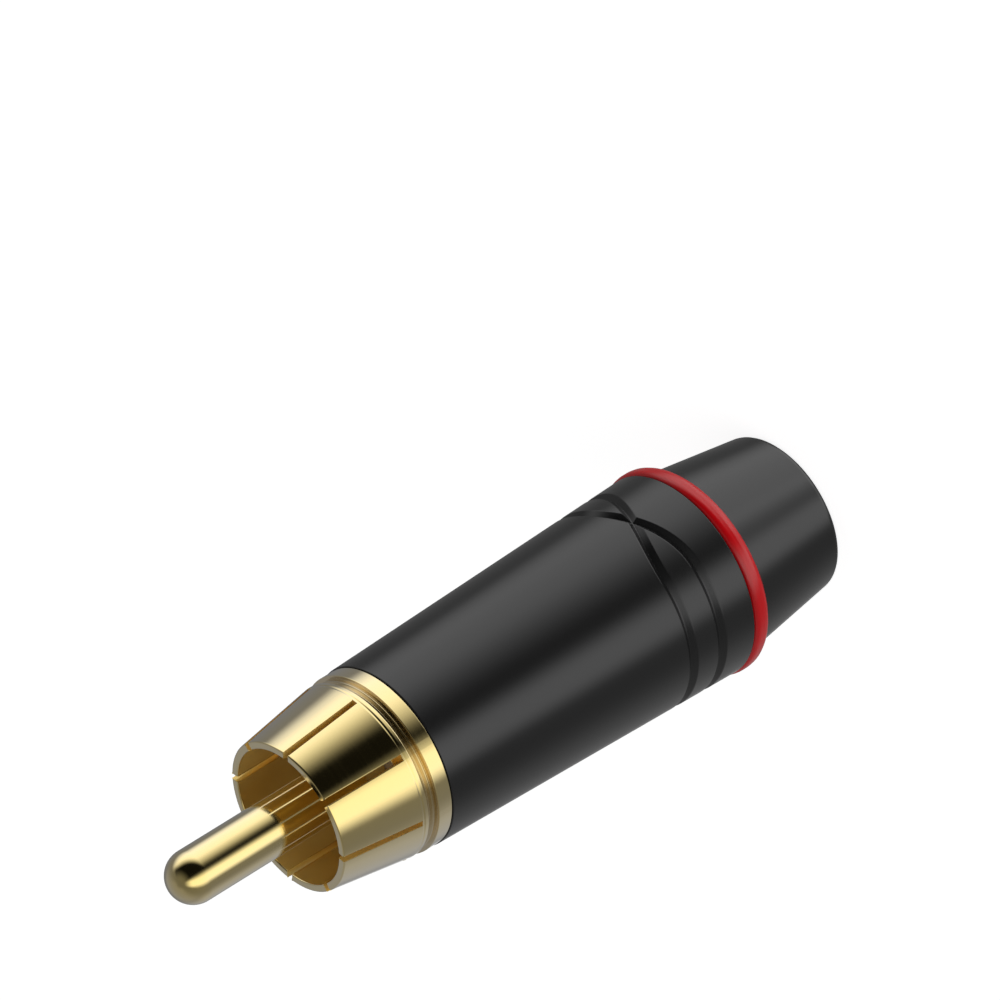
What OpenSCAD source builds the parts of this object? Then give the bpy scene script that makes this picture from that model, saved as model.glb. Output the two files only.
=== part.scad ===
// Cable-mount phono plug that stands on the tail of its boot, with the centre pin up.
// Lengths are in millimetres. The plug's axis is Z, and z = 0 is the tail face.

/* [Centre pin] */
// Diameter of the contact part of the pin
pin_d = 3.18; // [3.0:0.01:3.4]
// Length of pin past the rim of the contact sleeve
pin_reach = 8.4; // [6:0.1:11]
// Diameter of the shank that is pressed through the insulator
shank_d = 2.4; // [2.0:0.1:2.8]
// Length of the solder cup behind the insulator
cup_len = 5.4; // [4.5:0.1:6.5]
// Bore of the solder cup
cup_bore_d = 1.6; // [1.0:0.1:1.8]
// Depth of the solder cup's bore
cup_depth = 3.6; // [2.5:0.1:4.2]
// Length of the window that opens the cup's side
cup_window = 2.4; // [1.5:0.1:2.5]

/* [Contact sleeve] */
// Outer diameter at the rim of the petals
rim_d = 9.3; // [9.0:0.05:9.8]
// Bore that the jack's ring slides into
socket_d = 8.36; // [8.2:0.01:8.6]
// Depth of the bore, from the rim to the insulator
socket_depth = 6.0; // [5.4:0.1:6.5]
// Length of the tapered petals
petal_len = 5.2; // [4.5:0.1:6]
// Outer diameter at the root of the petals
petal_root_d = 10.84; // [10.4:0.02:11]
// Number of spring petals
petals = 8; // [4:1:12]
// Width of the slots between petals
slot_w = 0.38; // [0.25:0.01:0.6]
// Length of solid petal root below a slot
slot_stop = 0.14; // [0.02:0.01:0.5]
// Width of the narrow band behind the petals
band_w = 0.27; // [0.2:0.01:0.8]
// Diameter of the narrow band
band_d = 10.9; // [10.86:0.02:11]
// Width of the relief groove
relief_w = 0.67; // [0.5:0.01:0.8]
// Diameter at the bottom of the relief groove
relief_d = 10.26; // [9.8:0.02:10.6]
// Width of the relief groove's flat bottom, behind its slope
relief_floor = 0.2; // [0.1:0.01:0.4]
// Width of the flange
flange_w = 0.98; // [0.8:0.02:1.6]
// Diameter of the flange
flange_d = 11.1; // [10.94:0.02:11.16]
// Chamfer on the edges of the flange, band and rim
edge = 0.08; // [0.04:0.01:0.12]
// Diameter of the rear spigot's thread
spigot_d = 8.9; // [8.7:0.05:9.2]
// Length of the rear spigot
spigot_len = 5.0; // [4:0.1:6]
// Diameter of the neck that the ground lug is staked on
neck_d = 6.9; // [6.7:0.05:7.0]
// Height of the staked lip behind the ground lug
lip_h = 0.3; // [0.2:0.05:0.6]
// Overhang of the staked lip
lip_overhang = 0.15; // [0.05:0.05:0.2]

/* [Insulator] */
// Thickness of the insulator's head
head_h = 0.9; // [0.6:0.1:1.0]
// Diameter of the insulator's body
insulator_d = 5.8; // [5.2:0.1:6.0]

/* [Ground lug] */
// Outer diameter of the lug's ring
lug_d = 8.5; // [8.2:0.05:8.6]
// Thickness of the sheet
lug_t = 0.4; // [0.3:0.05:0.6]
// Width of the solder tongue
tongue_w = 2.4; // [1.8:0.1:3]
// Length of the solder tongue behind the spigot
tongue_len = 6.6; // [5:0.1:7.5]
// Diameter of the hole in the tongue
tongue_hole_d = 1.2; // [0.8:0.1:1.4]

/* [Barrel] */
// Length of the barrel
barrel_len = 22.2; // [21:0.05:26]
// Diameter at the barrel's front end
barrel_front_d = 11.2; // [11.1:0.05:11.6]
// Diameter at the barrel's rear end
barrel_rear_d = 12.7; // [12.4:0.05:13.2]
// Diameter of the wiring space
cavity_d = 9.5; // [9.3:0.05:9.8]
// Opening of the ledge that stops the chuck
ledge_d = 7.2; // [6.6:0.1:8]
// Thickness of the ledge
ledge_t = 0.7; // [0.5:0.1:1.2]
// Run of thread in the barrel past the end of the spigot
thread_runout = 0.5; // [0.3:0.1:1]
// Chamfer on the barrel's outer edges
barrel_edge = 0.06; // [0.04:0.01:0.2]

/* [Ornamental grooves] */
// Height of the crossing above the barrel's rear end
cross_up = 3.5; // [3:0.05:6]
// Half of the distance between the parallel grooves
cross_half = 1.03; // [0.8:0.01:1.4]
// Half of the angle over which the grooves change places
cross_angle = 40; // [30:1:60]
// Width of a groove
groove_w = 0.5; // [0.3:0.05:0.7]
// Depth of a groove
groove_depth = 0.2; // [0.1:0.01:0.3]

/* [Colour ring] */
// Width of the ring
ring_w = 1.2; // [1.05:0.05:1.8]
// Thickness of the ring's wall at its crest
ring_wall = 1.23; // [1.1:0.01:1.6]
// Radius of the ring's front edge
ring_front_round = 0.35; // [0.1:0.05:0.4]
// Radius of the ring's rear edge
ring_round = 0.6; // [0.3:0.05:0.6]

/* [Boot] */
// Length of the boot's visible cone
boot_len = 6.9; // [6.4:0.1:9]
// Diameter of the cone behind the ring
boot_d = 11.7; // [11.4:0.05:12]
// Diameter of the cone at the tail
tail_d = 9.82; // [9.4:0.02:10.4]
// Radius of the tail's outer edge
tail_round = 0.4; // [0.2:0.05:0.6]
// Diameter of the cable hole
cable_hole_d = 6.8; // [6.5:0.05:7.0]
// Chamfer at the mouth of the cable hole
mouth_chamfer = 0.3; // [0.1:0.05:0.5]
// Height of the straight cable hole above the tail
cable_hole_len = 5.6; // [4:0.1:5.8]
// Diameter of the boot's thread
boot_thread_d = 10.3; // [10.1:0.05:10.5]
// Length of the boot's thread in front of the ring
boot_thread_len = 4.35; // [3.5:0.05:5]
// Diameter of the taper's wide end
taper_d = 8.6; // [8.4:0.05:8.9]
// Diameter of the taper's narrow end
taper_end_d = 7.6; // [7.4:0.05:7.9]

/* [Cable chuck] */
// Bore of the chuck between its ridges
chuck_bore_d = 6.3; // [6.2:0.05:6.4]
// Height of the gripping ridges
ridge_h = 0.15; // [0.05:0.01:0.2]
// Number of gripping ridges
ridges = 5; // [2:1:6]
// Thickness of the chuck's front collar
collar_t = 2.1; // [1.5:0.1:2.6]
// Width of the slots between the chuck's fingers
chuck_slot_w = 0.8; // [0.5:0.1:1]
// Number of fingers
fingers = 4; // [4:2:6]
// Distance from the fingers' ends to the narrow end of the taper
finger_stop = 0.4; // [0.2:0.05:0.8]

/* [Fits] */
// Radial clearance of the screw threads
thread_clear = 0.05; // [0.03:0.01:0.1]
// Radial clearance of the pressed pieces
press_clear = 0.01; // [0.005:0.005:0.02]
// Gap at faces that are screwed together
seat_gap = 0.05; // [0.02:0.01:0.1]
// Clearance round the loose chuck and ring
loose_clear = 0.1; // [0.06:0.01:0.15]

/* [Hidden] */
$fn = 96;
gold = "#d8b763";
satin_black = "#2b2b2b";
ring_red = "#b0202a";
insulator_white = "#e8e3d6";
chuck_white = "#d8d6cd";
// Room for a cut to pass right through a wall
through = 0.5;
// Steps of a rounded edge, and of one groove across the crossing
arc_steps = 8;
cross_steps = 8;

// Heights of the seams, from the tail up
ring_z = boot_len;
barrel_z = ring_z + ring_w + seat_gap;
barrel_top = barrel_z + barrel_len;
flange_z = barrel_top + seat_gap;
relief_z = flange_z + flange_w;
band_z = relief_z + relief_w;
petal_z = band_z + band_w;
rim_z = petal_z + petal_len;
tip_z = rim_z + pin_reach;
socket_z = rim_z - socket_depth;
head_z = socket_z - head_h;
spigot_z = flange_z - spigot_len;
lip_z = spigot_z - lug_t - 2 * press_clear;
insulator_z = lip_z - lip_h;
cup_z = insulator_z - cup_len;
boot_top = ring_z + ring_w + boot_thread_len;
chuck_step_z = boot_top + loose_clear;
chuck_top = chuck_step_z + collar_t;
ledge_z = chuck_top + loose_clear;
thread_end_z = spigot_z - thread_runout;
cross_z = barrel_z + cross_up;

// Radii that two pieces share
front_bore_r = spigot_d / 2 + thread_clear;
rear_bore_r = boot_thread_d / 2 + thread_clear;

// Radius of the barrel's skin at height z
function skin_r(z) =
    barrel_rear_d / 2 + (barrel_front_d - barrel_rear_d) / 2 * (z - barrel_z) / barrel_len;

// Points of an arc about [r, z], from angle a to angle b
function arc(r, z, radius, a, b) =
    [for (i = [0 : arc_steps])
        let (t = a + (b - a) * i / arc_steps)
        [r + radius * cos(t), z + radius * sin(t)]];

// Height of a groove above the crossing, at an angle from it
function groove_rise(angle) = cross_half * sin(90 * angle / cross_angle);

module turned(outline) {
    rotate_extrude()
        polygon(outline);
}

// The ground contact: petals, band, relief, flange, spigot and staked neck in one turned piece
module contact_sleeve() {
    socket_r = socket_d / 2;
    inner_r = insulator_d / 2 + press_clear;
    lip_r = neck_d / 2 + lip_overhang;
    outline = [
        [inner_r, insulator_z],
        [lip_r, insulator_z],
        [lip_r, lip_z],
        [neck_d / 2, lip_z],
        [neck_d / 2, spigot_z],
        [spigot_d / 2 - edge, spigot_z],
        [spigot_d / 2, spigot_z + edge],
        [spigot_d / 2, flange_z],
        [flange_d / 2 - edge, flange_z],
        [flange_d / 2, flange_z + edge],
        [flange_d / 2, relief_z - edge],
        [flange_d / 2 - edge, relief_z],
        [relief_d / 2, relief_z],
        [relief_d / 2, relief_z + relief_floor],
        [band_d / 2, band_z],
        [petal_root_d / 2, petal_z],
        [rim_d / 2, rim_z - edge],
        [rim_d / 2 - edge, rim_z],
        [socket_r + edge, rim_z],
        [socket_r, rim_z - edge],
        [socket_r, head_z],
        [inner_r, head_z]
    ];
    color(gold)
        difference() {
            turned(outline);
            for (i = [0 : petals - 1])
                rotate(i * 360 / petals)
                    translate([inner_r, -slot_w / 2, petal_z + slot_stop])
                        cube([band_d / 2, slot_w, petal_len + through]);
        }
}

// The signal pin: round nose, straight contact, pressed shank and open solder cup
module centre_pin() {
    pin_r = pin_d / 2;
    color(gold)
        difference() {
            union() {
                translate([0, 0, cup_z])
                    cylinder(d = shank_d, h = socket_z - cup_z);
                turned(concat([[0, socket_z], [pin_r, socket_z]], arc(0, tip_z - pin_r, pin_r, 0, 90)));
            }
            translate([0, 0, cup_z - through])
                cylinder(d = cup_bore_d, h = cup_depth + through);
            translate([-shank_d, 0, cup_z - through])
                cube([2 * shank_d, shank_d, cup_window + through]);
        }
}

// The headed bush between the pin and the sleeve
module pin_insulator() {
    outline = [
        [shank_d / 2 + press_clear, insulator_z],
        [insulator_d / 2, insulator_z],
        [insulator_d / 2, head_z + press_clear],
        [socket_d / 2 - press_clear, head_z + press_clear],
        [socket_d / 2 - press_clear, socket_z - press_clear],
        [shank_d / 2 + press_clear, socket_z - press_clear]
    ];
    color(insulator_white)
        turned(outline);
}

// The stamped solder tag: a ring on the staked neck, with one bent tongue
module ground_lug() {
    tongue_y = sqrt(pow(lug_d / 2, 2) - pow(tongue_w / 2, 2));
    ring_top = spigot_z - press_clear;
    tongue_end = spigot_z - tongue_len;
    end_z = tongue_end + tongue_w / 2;
    color(gold)
        difference() {
            union() {
                translate([0, 0, ring_top - lug_t])
                    cylinder(d = lug_d, h = lug_t);
                translate([-tongue_w / 2, tongue_y - lug_t, end_z])
                    cube([tongue_w, lug_t, ring_top - end_z]);
                translate([0, tongue_y, end_z])
                    rotate([90, 0, 0])
                        cylinder(d = tongue_w, h = lug_t);
            }
            translate([0, 0, ring_top - lug_t - through])
                cylinder(d = neck_d + 2 * press_clear, h = lug_t + 2 * through);
            translate([0, tongue_y + through, end_z])
                rotate([90, 0, 0])
                    cylinder(d = tongue_hole_d, h = lug_t + 2 * through);
        }
}

// One groove: a ring that leaves the crossing's sector free
module groove_ring(rise) {
    z = cross_z + rise;
    rotate(cross_angle - 90)
        rotate_extrude(angle = 360 - 2 * cross_angle)
            translate([skin_r(z) - groove_depth, z - groove_w / 2])
                square([groove_depth + through, groove_w]);
}

// One groove on its way across: a straight cut for each step of the crossing
module groove_crossing(side) {
    step = 2 * cross_angle / cross_steps;
    for (i = [0 : cross_steps - 1]) {
        from = -cross_angle + i * step;
        rise_from = side * groove_rise(from);
        rise_to = side * groove_rise(from + step);
        z = cross_z + (rise_from + rise_to) / 2;
        bottom_r = skin_r(z) - groove_depth;
        run = 2 * skin_r(z) * sin(step / 2);
        len = norm([run, rise_to - rise_from]) + groove_w / 4;
        rotate(from + step / 2 - 90)
            translate([bottom_r, 0, z])
                rotate([atan2(rise_to - rise_from, run), 0, 0])
                    translate([0, -len / 2, -groove_w / 2])
                        cube([groove_depth + through, len, groove_w]);
    }
}

// The shell: a slender cone with a thread at each end, a wiring space and a ledge for the chuck
module barrel() {
    cavity_r = cavity_d / 2;
    ledge_r = ledge_d / 2;
    ledge_top = ledge_z + ledge_t;
    outline = [
        [rear_bore_r, barrel_z],
        [skin_r(barrel_z) - barrel_edge, barrel_z],
        [skin_r(barrel_z), barrel_z + barrel_edge],
        [skin_r(barrel_top), barrel_top - barrel_edge],
        [skin_r(barrel_top) - barrel_edge, barrel_top],
        [front_bore_r, barrel_top],
        [front_bore_r, thread_end_z],
        [cavity_r, thread_end_z - (cavity_r - front_bore_r)],
        [cavity_r, ledge_top + (cavity_r - ledge_r)],
        [ledge_r, ledge_top],
        [ledge_r, ledge_z],
        [rear_bore_r, ledge_z]
    ];
    color(satin_black)
        difference() {
            turned(outline);
            for (side = [-1, 1]) {
                groove_ring(side * cross_half);
                groove_crossing(side);
            }
        }
}

// The coding ring, well rounded on both outer edges, loose on the boot's thread
module colour_ring() {
    bore_r = boot_thread_d / 2 + loose_clear;
    crest_r = bore_r + ring_wall;
    ring_top = ring_z + ring_w;
    color(ring_red)
        turned(concat(
            [[bore_r, ring_top], [bore_r, ring_z]],
            arc(crest_r - ring_round, ring_z + ring_round, ring_round, -90, 0),
            arc(crest_r - ring_front_round, ring_top - ring_front_round, ring_front_round, 0, 90)
        ));
}

// The collet: a collar that rests under the barrel's ledge, with tapered fingers behind it
module cable_chuck() {
    bore_r = chuck_bore_d / 2;
    finger_z = cable_hole_len + finger_stop;
    finger_len = chuck_step_z - finger_z;
    wide_r = taper_d / 2 - loose_clear;
    end_share = (boot_top - finger_z) / (boot_top - cable_hole_len);
    narrow_r = wide_r - (taper_d - taper_end_d) / 2 * end_share;
    ridge_step = finger_len / (ridges + 1);
    ridge_line = [for (i = [ridges : -1 : 1])
        for (offset = [1, 0, -1])
            [bore_r - (offset == 0 ? ridge_h : 0), finger_z + i * ridge_step + offset * ridge_h]];
    outline = concat(
        [
            [bore_r, finger_z],
            [narrow_r, finger_z],
            [wide_r, chuck_step_z],
            [rear_bore_r - loose_clear, chuck_step_z],
            [rear_bore_r - loose_clear, chuck_top],
            [bore_r, chuck_top]
        ],
        ridge_line
    );
    color(chuck_white)
        difference() {
            turned(outline);
            for (i = [0 : fingers / 2 - 1])
                rotate(i * 360 / fingers)
                    translate([-boot_d / 2, -chuck_slot_w / 2, finger_z - through])
                        cube([boot_d, chuck_slot_w, finger_len + through]);
        }
}

// The back nut: a threaded spigot, a seat for the ring, a cone and a taper that closes the chuck
module boot() {
    taper_r = taper_d / 2;
    hole_r = cable_hole_d / 2;
    lean = atan((boot_d - tail_d) / 2 / boot_len);
    round_r = tail_d / 2 + tail_round * (tan(lean) - 1 / cos(lean));
    outline = concat(
        [[hole_r + mouth_chamfer, 0]],
        arc(round_r, tail_round, tail_round, -90, -lean),
        [
            [boot_d / 2, ring_z],
            [boot_thread_d / 2, ring_z],
            [boot_thread_d / 2, boot_top - edge],
            [boot_thread_d / 2 - edge, boot_top],
            [taper_r, boot_top],
            [taper_end_d / 2, cable_hole_len],
            [hole_r, cable_hole_len],
            [hole_r, mouth_chamfer]
        ]
    );
    color(satin_black)
        turned(outline);
}

contact_sleeve();
centre_pin();
pin_insulator();
ground_lug();
barrel();
colour_ring();
cable_chuck();
boot();
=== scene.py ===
"""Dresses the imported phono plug: gold contacts, satin black barrel and boot, red coding ring.

The plug stands on the tail of its boot, so its axis is Z and it rests on z = 0. Sizes are in
millimetres, and a mesh turns to metres when its piece is finished. Outlines are drawn in the XZ
plane and turned about Z.
"""
import sys

import logging
import math
from dataclasses import dataclass, replace
from enum import Enum, IntEnum
from typing import Any, Callable

import bmesh
import bpy
from bmesh.types import BMEdge, BMesh, BMFace, BMVert
from bpy.types import Material, Node, NodeSocket, NodeTree, Scene
from mathutils import Matrix, Quaternion, Vector


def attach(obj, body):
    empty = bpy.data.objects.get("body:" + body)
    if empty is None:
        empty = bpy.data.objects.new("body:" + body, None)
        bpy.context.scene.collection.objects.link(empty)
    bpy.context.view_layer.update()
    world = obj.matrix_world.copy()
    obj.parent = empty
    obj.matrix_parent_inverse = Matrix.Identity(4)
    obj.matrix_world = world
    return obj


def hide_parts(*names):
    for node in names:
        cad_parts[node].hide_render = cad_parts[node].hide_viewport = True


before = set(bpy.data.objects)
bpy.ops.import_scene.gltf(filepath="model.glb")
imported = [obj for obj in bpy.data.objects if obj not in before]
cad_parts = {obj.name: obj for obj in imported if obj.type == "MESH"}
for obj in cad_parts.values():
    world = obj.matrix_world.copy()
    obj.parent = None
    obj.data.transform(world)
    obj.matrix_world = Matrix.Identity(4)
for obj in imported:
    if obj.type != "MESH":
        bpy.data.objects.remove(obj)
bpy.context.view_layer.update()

MM = 0.001
TURN = 2 * math.pi
AXIS = (0.0, 0.0, 1.0)
ORIGIN = (0.0, 0.0, 0.0)
# Two points closer than this are one point
NEAR = 1e-4
WHITE = "#ffffff"
# Range that most of a noise texture's values lie in
NOISE_LOW, NOISE_HIGH = 0.3, 0.7
# Steps round a rounded corner
ROUND_STEPS = 5
# Width of the narrow row at each end of a long side, which keeps the side's shading straight
HOLD = 0.03

log = logging.getLogger("plug")


class Body(Enum):
    """The bodies that a piece can ride on."""

    BOOT = "boot"
    BARREL = "barrel"
    CONTACTS = "contacts"


class Slot(Enum):
    """The material slots."""

    GOLD = "gold_plate"
    SHELL = "black_metal"
    RING = "red_plastic"
    BOOT = "black_plastic"
    INSULATOR = "insulator_plastic"
    CHUCK = "chuck_plastic"


class OpenEnd(Enum):
    """The end of a slotted piece at which its slots run out."""

    FRONT = 1
    REAR = -1


class Wall(Enum):
    """The side of a wall that a thread is cut into: which way its roots lie."""

    OUTSIDE = -1
    INSIDE = 1


class SleeveFace(IntEnum):
    """The kinds of face on the contact sleeve, in the order of their finishes."""

    OUTER = 0
    BORE = 1
    RELIEF = 2


def linear(colour: str) -> tuple[float, float, float, float]:
    """Turns an sRGB hex colour to linear light.

    Args:
        colour: The colour, such as "#b3141c".

    Returns:
        Red, green, blue and an alpha of 1.
    """
    shares = [int(colour[i : i + 2], 16) / 255 for i in (1, 3, 5)]
    red, green, blue = (
        s / 12.92 if s <= 0.04045 else ((s + 0.055) / 1.055) ** 2.4 for s in shares
    )
    return red, green, blue, 1.0


def add_node(
    tree: NodeTree,
    kind: str,
    inputs: dict[str | int, Any] | None = None,
    **settings: Any,
) -> Node:
    """Adds one node, with its settings, values and links.

    Args:
        tree: The node tree that gets the node.
        kind: The node's type, without its leading "ShaderNode".
        inputs: A value or an output socket for each input socket.
        settings: The node's own properties.

    Returns:
        The new node.
    """
    node = tree.nodes.new("ShaderNode" + kind)
    for name, value in settings.items():
        setattr(node, name, value)
    for key, value in (inputs or {}).items():
        if isinstance(value, NodeSocket):
            tree.links.new(value, node.inputs[key])
        else:
            node.inputs[key].default_value = value
    return node


@dataclass(frozen=True)
class Finish:
    """A surface finish. Its pattern gives height and gloss, on top of one colour.

    Attributes:
        name: What the material is and how it was made.
        colour: Its colour, as an sRGB hex value.
        roughness: Its mean roughness.
        uneven: How far the pattern moves the roughness either way.
        pattern: Width of one mark of the pattern, in millimetres.
        relief: Height of the pattern, in millimetres.
        metallic: 1 for bare metal.
        specular: Specular level, where 0.5 is an index of refraction of 1.5.
        pale_edge: Power by which the colour pales at a glancing angle, or 0 if it doesn't.
    """

    name: str
    colour: str
    roughness: float
    uneven: float
    pattern: float
    relief: float
    metallic: float = 0.0
    specular: float = 0.5
    pale_edge: float = 0.0

    def tint(self, tree: NodeTree) -> Any:
        """Gives the colour, or a socket where it pales at a glancing angle.

        Args:
            tree: The material's node tree.

        Returns:
            What goes on the shader's colour socket.
        """
        if not self.pale_edge:
            return linear(self.colour)
        glance = add_node(tree, "LayerWeight", {"Blend": 0.5}).outputs["Facing"]
        share = add_node(tree, "Math", {0: glance, 1: self.pale_edge}, operation="POWER")
        colours = {0: share.outputs[0], 6: linear(self.colour), 7: linear(WHITE)}
        return add_node(tree, "Mix", colours, data_type="RGBA").outputs[2]

    def place(self, tree: NodeTree) -> NodeSocket:
        """Gives the piece's own coordinates in metres, which the pattern is drawn on."""
        return add_node(tree, "TexCoord").outputs["Object"]

    def material(self) -> Material:
        """Makes the material, or finds it if it is made already.

        Returns:
            The material.
        """
        made = bpy.data.materials.get(self.name)
        if made:
            return made
        made = bpy.data.materials.new(self.name)
        made.use_nodes = True
        tree = made.node_tree
        tree.nodes.clear()
        noise = add_node(
            tree,
            "TexNoise",
            {
                "Vector": self.place(tree),
                "Scale": 1 / (self.pattern * MM),
                "Detail": 2.0,
                "Roughness": 0.5,
            },
        ).outputs["Fac"]
        gloss = add_node(
            tree,
            "MapRange",
            {
                "Value": noise,
                "From Min": NOISE_LOW,
                "From Max": NOISE_HIGH,
                "To Min": self.roughness - self.uneven,
                "To Max": self.roughness + self.uneven,
            },
        )
        marks = {"Height": noise, "Strength": 1.0, "Distance": self.relief * MM}
        bump = add_node(tree, "Bump", marks)
        shader = add_node(
            tree,
            "BsdfPrincipled",
            {
                "Base Color": self.tint(tree),
                "Metallic": self.metallic,
                "Roughness": gloss.outputs["Result"],
                "Specular IOR Level": self.specular,
                "Normal": bump.outputs["Normal"],
            },
        )
        add_node(tree, "OutputMaterial", {"Surface": shader.outputs["BSDF"]})
        return made


@dataclass(frozen=True)
class TurnedFinish(Finish):
    """A finish on a piece from the lathe: its marks are rings about the axis."""

    def place(self, tree: NodeTree) -> NodeSocket:
        """Gives radius and height, so that a mark runs right round the piece.

        Args:
            tree: The material's node tree.

        Returns:
            A vector of radius, zero and height, in metres.
        """
        parts = add_node(tree, "SeparateXYZ", {"Vector": super().place(tree)}).outputs
        flat = add_node(tree, "CombineXYZ", {"X": parts["X"], "Y": parts["Y"]}).outputs[0]
        radius = add_node(tree, "VectorMath", {0: flat}, operation="LENGTH").outputs["Value"]
        return add_node(tree, "CombineXYZ", {"X": radius, "Z": parts["Z"]}).outputs[0]


# Turned brass under a polished gold flash: a mirror with a warm tint, and rings left by the tool.
# The real rings are about 0.03 mm wide, and are drawn wider so that they show.
GOLD_PLATE = TurnedFinish(
    "gold_plated_turned_brass",
    "#ffe593",
    roughness=0.1,
    uneven=0.02,
    pattern=0.16,
    relief=0.00006,
    metallic=1.0,
    pale_edge=1.3,
)
# The same plating in the sleeve's bore and slots, duller than outside and part matt. Its deeper
# tint is painted warm bounce light in the recess.
GOLD_BORE_PAINTED_BOUNCE = replace(
    GOLD_PLATE,
    name="gold_plate_painted_bore_bounce",
    colour="#ffde82",
    roughness=0.16,
    metallic=0.4,
    pale_edge=0.0,
)
# The same plating in the relief groove, duller, and darker in tint: painted shade in the groove.
GOLD_RELIEF_PAINTED_SHADE = replace(
    GOLD_PLATE, name="gold_plate_painted_relief_shade", colour="#dcc07a", roughness=0.16
)
# Stamped brass with the same plating, dulled by the press.
GOLD_SHEET = Finish(
    "gold_plated_stamped_brass",
    "#f6dc90",
    roughness=0.18,
    uneven=0.04,
    pattern=0.2,
    relief=0.0002,
    metallic=1.0,
    pale_edge=1.3,
)
# Satin black electrophoretic paint on turned zinc alloy: even, with a broad soft sheen.
BLACK_PAINT = Finish(
    "satin_black_painted_shell",
    "#202020",
    roughness=0.22,
    uneven=0.015,
    pattern=0.12,
    relief=0.00006,
    specular=0.7,
)
# Moulded black nylon with a fine spark-eroded surface.
BLACK_NYLON = Finish(
    "moulded_black_nylon",
    "#202020",
    roughness=0.22,
    uneven=0.02,
    pattern=0.12,
    relief=0.0001,
    specular=0.68,
)
# Moulded red polypropylene, glossy from a polished cavity.
RED_PLASTIC = Finish(
    "moulded_red_polypropylene",
    "#ea101a",
    roughness=0.2,
    uneven=0.02,
    pattern=0.2,
    relief=0.00015,
    specular=0.6,
)
# Moulded natural acetal, milky white and a little waxy.
NATURAL_ACETAL = Finish(
    "moulded_natural_acetal",
    "#e8e3d6",
    roughness=0.38,
    uneven=0.03,
    pattern=0.15,
    relief=0.0002,
)
# Moulded natural nylon, off-white and slightly waxy.
WHITE_NYLON = Finish(
    "moulded_natural_nylon", "#d8d6cd", roughness=0.42, uneven=0.04, pattern=0.18, relief=0.0003
)


@dataclass(frozen=True)
class Corner:
    """One corner of a turned outline.

    Attributes:
        r: Radius.
        z: Height.
        round: Length that the rounded corner takes off each side.
        rows: Number of rows that the side to the next corner is cut into.
    """

    r: float
    z: float
    round: float = 0.0
    rows: int = 1


def draw_outline(bm: BMesh, corners: list[Corner], closed: bool = True) -> None:
    """Draws a turned piece's outline as a wire in the XZ plane.

    Args:
        bm: The mesh that gets the wire.
        corners: The outline's corners in order.
        closed: False for an outline that starts and ends on the axis.
    """
    points = [bm.verts.new((c.r, 0.0, c.z)) for c in corners]
    sides = list(zip(points, points[1:] + points[:1]))
    for pair in sides if closed else sides[:-1]:
        bm.edges.new(pair)
    for corner, point in zip(corners, points):
        if corner.round:
            bmesh.ops.bevel(
                bm,
                geom=[point],
                offset=corner.round,
                offset_type="OFFSET",
                segments=ROUND_STEPS,
                profile=0.5,
                affect="VERTICES",
                clamp_overlap=False,
                material=-1,
            )
    for start, end in zip(corners, corners[1:] + corners[:1]):
        if start.rows > 1:
            side = longest_on_side(bm, start, end)
            bmesh.ops.subdivide_edges(bm, edges=[side], cuts=start.rows - 1)
    for edge in bm.edges[:]:
        first, last = edge.verts
        if edge.calc_length() > 4 * HOLD:
            middle = bmesh.utils.edge_split(edge, first, HOLD / edge.calc_length())[1]
            rest = next(e for e in last.link_edges if middle in e.verts)
            bmesh.utils.edge_split(rest, last, HOLD / rest.calc_length())


def longest_on_side(bm: BMesh, start: Corner, end: Corner) -> BMEdge:
    """Finds the straight part of one side of an outline.

    Args:
        bm: The mesh with the outline.
        start: The corner that the side starts from.
        end: The corner that it runs to.

    Returns:
        The longest edge that lies on the side.
    """
    base = Vector((start.r, 0.0, start.z))
    reach = Vector((end.r, 0.0, end.z)) - base
    along = reach.normalized()

    def lies_on(point: Vector) -> bool:
        """Says whether a point is on the side, between its two corners."""
        offset = point - base
        inside = -NEAR < offset.dot(along) < reach.length + NEAR
        return inside and offset.cross(along).length < NEAR

    on_side = [e for e in bm.edges if all(lies_on(v.co) for v in e.verts)]
    return max(on_side, key=lambda e: e.calc_length())


def turn(corners: list[Corner], columns: int) -> BMesh:
    """Turns a closed outline right round the axis.

    Args:
        corners: The outline's corners in order.
        columns: Number of steps round the axis.

    Returns:
        The turned mesh, in millimetres.
    """
    bm = bmesh.new()
    draw_outline(bm, corners)
    sweep(bm, columns)
    return bm


def sweep(bm: BMesh, columns: int) -> None:
    """Turns a wire right round the axis and closes the mesh.

    Args:
        bm: The mesh with the wire.
        columns: Number of steps round the axis.
    """
    bmesh.ops.spin(
        bm,
        geom=bm.verts[:] + bm.edges[:],
        cent=ORIGIN,
        axis=AXIS,
        angle=TURN,
        steps=columns,
        use_merge=True,
    )
    close_up(bm)


def close_up(bm: BMesh) -> None:
    """Merges a mesh's doubled points and turns every face outwards."""
    bmesh.ops.remove_doubles(bm, verts=bm.verts, dist=NEAR)
    bmesh.ops.recalc_face_normals(bm, faces=bm.faces)


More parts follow.
